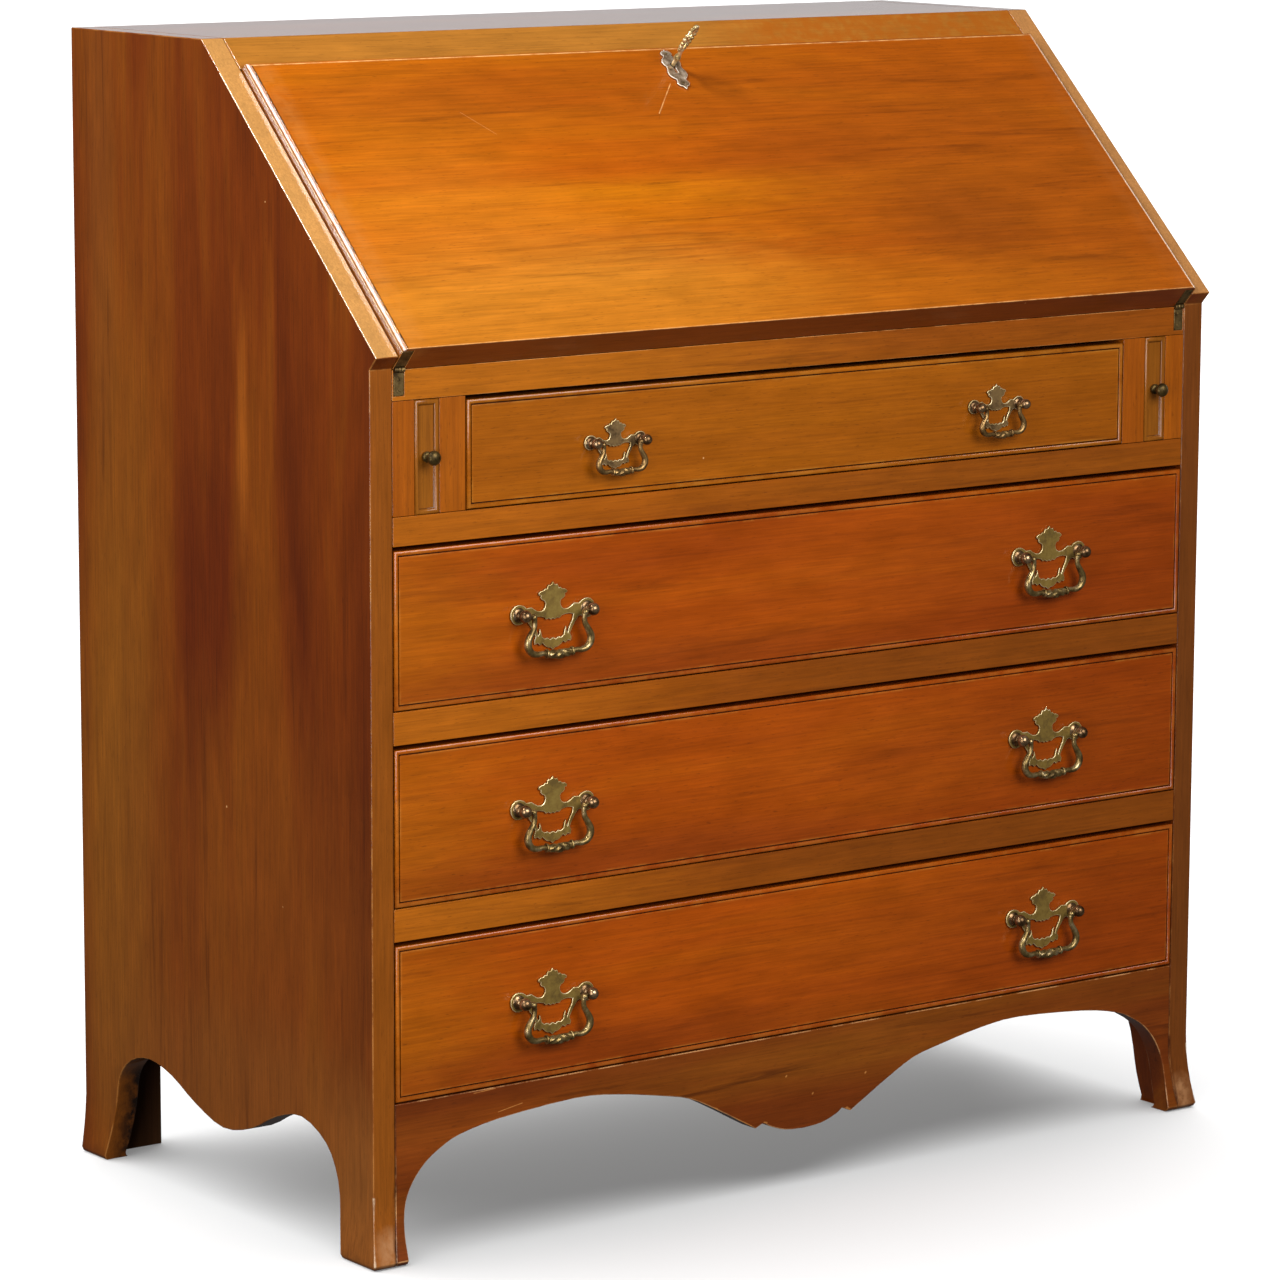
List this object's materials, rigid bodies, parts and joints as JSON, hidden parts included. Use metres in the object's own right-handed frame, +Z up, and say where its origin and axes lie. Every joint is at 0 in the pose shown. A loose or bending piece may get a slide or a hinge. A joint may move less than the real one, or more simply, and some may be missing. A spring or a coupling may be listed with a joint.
{
  "type": "secretary desk",
  "caption": "Slant-front secretary desk: hinged writing fall with lock, pull-out lopers, long drawers with drop handles, shaped apron, splayed bracket feet, and pigeonholes inside.",
  "frame": {"origin": "on the floor under the middle of the whole object's box", "axes": "+Z up; the desk faces -Y; +X is to the right of someone standing in front of it"},
  "size_m": [0.9252, 0.484, 1.0151],
  "materials": {
    "fall_wood": "amber varnish, horizontal grain, worn light edges",
    "drawer_front_wood": "orange-brown varnish, horizontal grain",
    "case_wood": "brown varnish, upright grain on the sides",
    "rail_wood": "brown varnish, horizontal grain",
    "loper_wood": "brown varnish, upright grain on the face",
    "gallery_wood": "thin varnish over light wood",
    "drawer_lining_wood": "bare planed wood",
    "backboard_wood": "bare wood darkened with age",
    "pull_brass": "antique brass, dark in the hollows",
    "bail_brass": "antique brass, rubbed bright on the grip",
    "hinge_brass": "tarnished brass",
    "knob_brass": "tarnished brass",
    "key_brass": "polished brass",
    "escutcheon_brass": "greyed brass",
    "lock_brass": "dull brass",
    "bolt_steel": "dull steel"
  },
  "bodies": {
    "case": {"side_left": "case_wood", "side_right": "case_wood", "top_board": "case_wood", "back_panel": "backboard_wood", "writing_shelf": "rail_wood", "lower_blade": "rail_wood", "middle_blade": "rail_wood", "upper_blade": "rail_wood", "bottom_board": "drawer_lining_wood", "apron": "rail_wood", "loper_guide_left": "rail_wood", "loper_guide_right": "rail_wood", "loper_partition_left": "rail_wood", "loper_partition_right": "rail_wood", "rear_bracket_left": "backboard_wood", "rear_bracket_right": "backboard_wood", "gallery": "gallery_wood", "case_hinge_left": "hinge_brass", "case_hinge_right": "hinge_brass"},
    "fall": {"fall_panel": "fall_wood", "fall_hinge_left": "hinge_brass", "fall_hinge_right": "hinge_brass", "lock_case": "lock_brass", "escutcheon": "escutcheon_brass"},
    "key": {"key": "key_brass"},
    "bolt": {"lock_bolt": "bolt_steel"},
    "lower_drawer": {"lower_drawer_front": "drawer_front_wood", "lower_drawer_box": "drawer_lining_wood", "lower_drawer_bottom": "drawer_lining_wood", "lower_plate_left": "pull_brass", "lower_plate_right": "pull_brass"},
    "lower_bail_left": {"lower_bail_left": "bail_brass"},
    "lower_bail_right": {"lower_bail_right": "bail_brass"},
    "middle_drawer": {"middle_drawer_front": "drawer_front_wood", "middle_drawer_box": "drawer_lining_wood", "middle_drawer_bottom": "drawer_lining_wood", "middle_plate_left": "pull_brass", "middle_plate_right": "pull_brass"},
    "middle_bail_left": {"middle_bail_left": "bail_brass"},
    "middle_bail_right": {"middle_bail_right": "bail_brass"},
    "upper_drawer": {"upper_drawer_front": "drawer_front_wood", "upper_drawer_box": "drawer_lining_wood", "upper_drawer_bottom": "drawer_lining_wood", "upper_plate_left": "pull_brass", "upper_plate_right": "pull_brass"},
    "upper_bail_left": {"upper_bail_left": "bail_brass"},
    "upper_bail_right": {"upper_bail_right": "bail_brass"},
    "top_drawer": {"top_drawer_front": "drawer_front_wood", "top_drawer_box": "drawer_lining_wood", "top_drawer_bottom": "drawer_lining_wood", "top_plate_left": "pull_brass", "top_plate_right": "pull_brass"},
    "top_bail_left": {"top_bail_left": "bail_brass"},
    "top_bail_right": {"top_bail_right": "bail_brass"},
    "loper_left": {"loper_left": "loper_wood", "loper_knob_left": "knob_brass"},
    "loper_right": {"loper_right": "loper_wood", "loper_knob_right": "knob_brass"},
    "gallery_drawer_left": {"gallery_drawer_left": "gallery_wood"},
    "gallery_drawer_right": {"gallery_drawer_right": "gallery_wood"}
  },
  "joints": [
    {"name": "fall_hinge", "type": "hinge", "parent": "case", "child": "fall", "pos_m": [0, -0.225, 0.7545], "axis": [1, 0, 0], "range_deg": [0, 136.95]},
    {"name": "key_turn", "type": "hinge", "parent": "fall", "child": "key", "pos_m": [0, -0.00723, 0.95793], "axis": [0, -0.6826, 0.7308], "range_deg": [0, 90]},
    {"name": "bolt_throw", "type": "slide", "parent": "fall", "child": "bolt", "axis": [0, 0.7308, 0.6826], "range_m": [0, 0.008]},
    {"name": "lower_drawer_slide", "type": "slide", "parent": "case", "child": "lower_drawer", "axis": [0, -1, 0], "range_m": [0, 0.3]},
    {"name": "lower_bail_left_swing", "type": "hinge", "parent": "lower_drawer", "child": "lower_bail_left", "pos_m": [-0.2748, -0.2365, 0.2085], "axis": [-1, 0, 0], "range_deg": [0, 100]},
    {"name": "lower_bail_right_swing", "type": "hinge", "parent": "lower_drawer", "child": "lower_bail_right", "pos_m": [0.2748, -0.2365, 0.2085], "axis": [-1, 0, 0], "range_deg": [0, 100]},
    {"name": "middle_drawer_slide", "type": "slide", "parent": "case", "child": "middle_drawer", "axis": [0, -1, 0], "range_m": [0, 0.3]},
    {"name": "middle_bail_left_swing", "type": "hinge", "parent": "middle_drawer", "child": "middle_bail_left", "pos_m": [-0.2748, -0.2365, 0.3745], "axis": [-1, 0, 0], "range_deg": [0, 100]},
    {"name": "middle_bail_right_swing", "type": "hinge", "parent": "middle_drawer", "child": "middle_bail_right", "pos_m": [0.2748, -0.2365, 0.3745], "axis": [-1, 0, 0], "range_deg": [0, 100]},
    {"name": "upper_drawer_slide", "type": "slide", "parent": "case", "child": "upper_drawer", "axis": [0, -1, 0], "range_m": [0, 0.3]},
    {"name": "upper_bail_left_swing", "type": "hinge", "parent": "upper_drawer", "child": "upper_bail_left", "pos_m": [-0.2748, -0.2365, 0.5405], "axis": [-1, 0, 0], "range_deg": [0, 100]},
    {"name": "upper_bail_right_swing", "type": "hinge", "parent": "upper_drawer", "child": "upper_bail_right", "pos_m": [0.2748, -0.2365, 0.5405], "axis": [-1, 0, 0], "range_deg": [0, 100]},
    {"name": "top_drawer_slide", "type": "slide", "parent": "case", "child": "top_drawer", "axis": [0, -1, 0], "range_m": [0, 0.26]},
    {"name": "top_bail_left_swing", "type": "hinge", "parent": "top_drawer", "child": "top_bail_left", "pos_m": [-0.2102, -0.2365, 0.68], "axis": [-1, 0, 0], "range_deg": [0, 100]},
    {"name": "top_bail_right_swing", "type": "hinge", "parent": "top_drawer", "child": "top_bail_right", "pos_m": [0.2102, -0.2365, 0.68], "axis": [-1, 0, 0], "range_deg": [0, 100]},
    {"name": "loper_left_slide", "type": "slide", "parent": "case", "child": "loper_left", "axis": [0, -1, 0], "range_m": [0, 0.26]},
    {"name": "loper_right_slide", "type": "slide", "parent": "case", "child": "loper_right", "axis": [0, -1, 0], "range_m": [0, 0.26]},
    {"name": "gallery_drawer_left_slide", "type": "slide", "parent": "case", "child": "gallery_drawer_left", "axis": [0, -1, 0], "range_m": [0, 0.1]},
    {"name": "gallery_drawer_right_slide", "type": "slide", "parent": "case", "child": "gallery_drawer_right", "axis": [0, -1, 0], "range_m": [0, 0.1]}
  ],
  "couplings": [
    {"joint": "bolt_throw", "follows": "key_turn", "m_per_rad": 0.0050879}
  ]
}
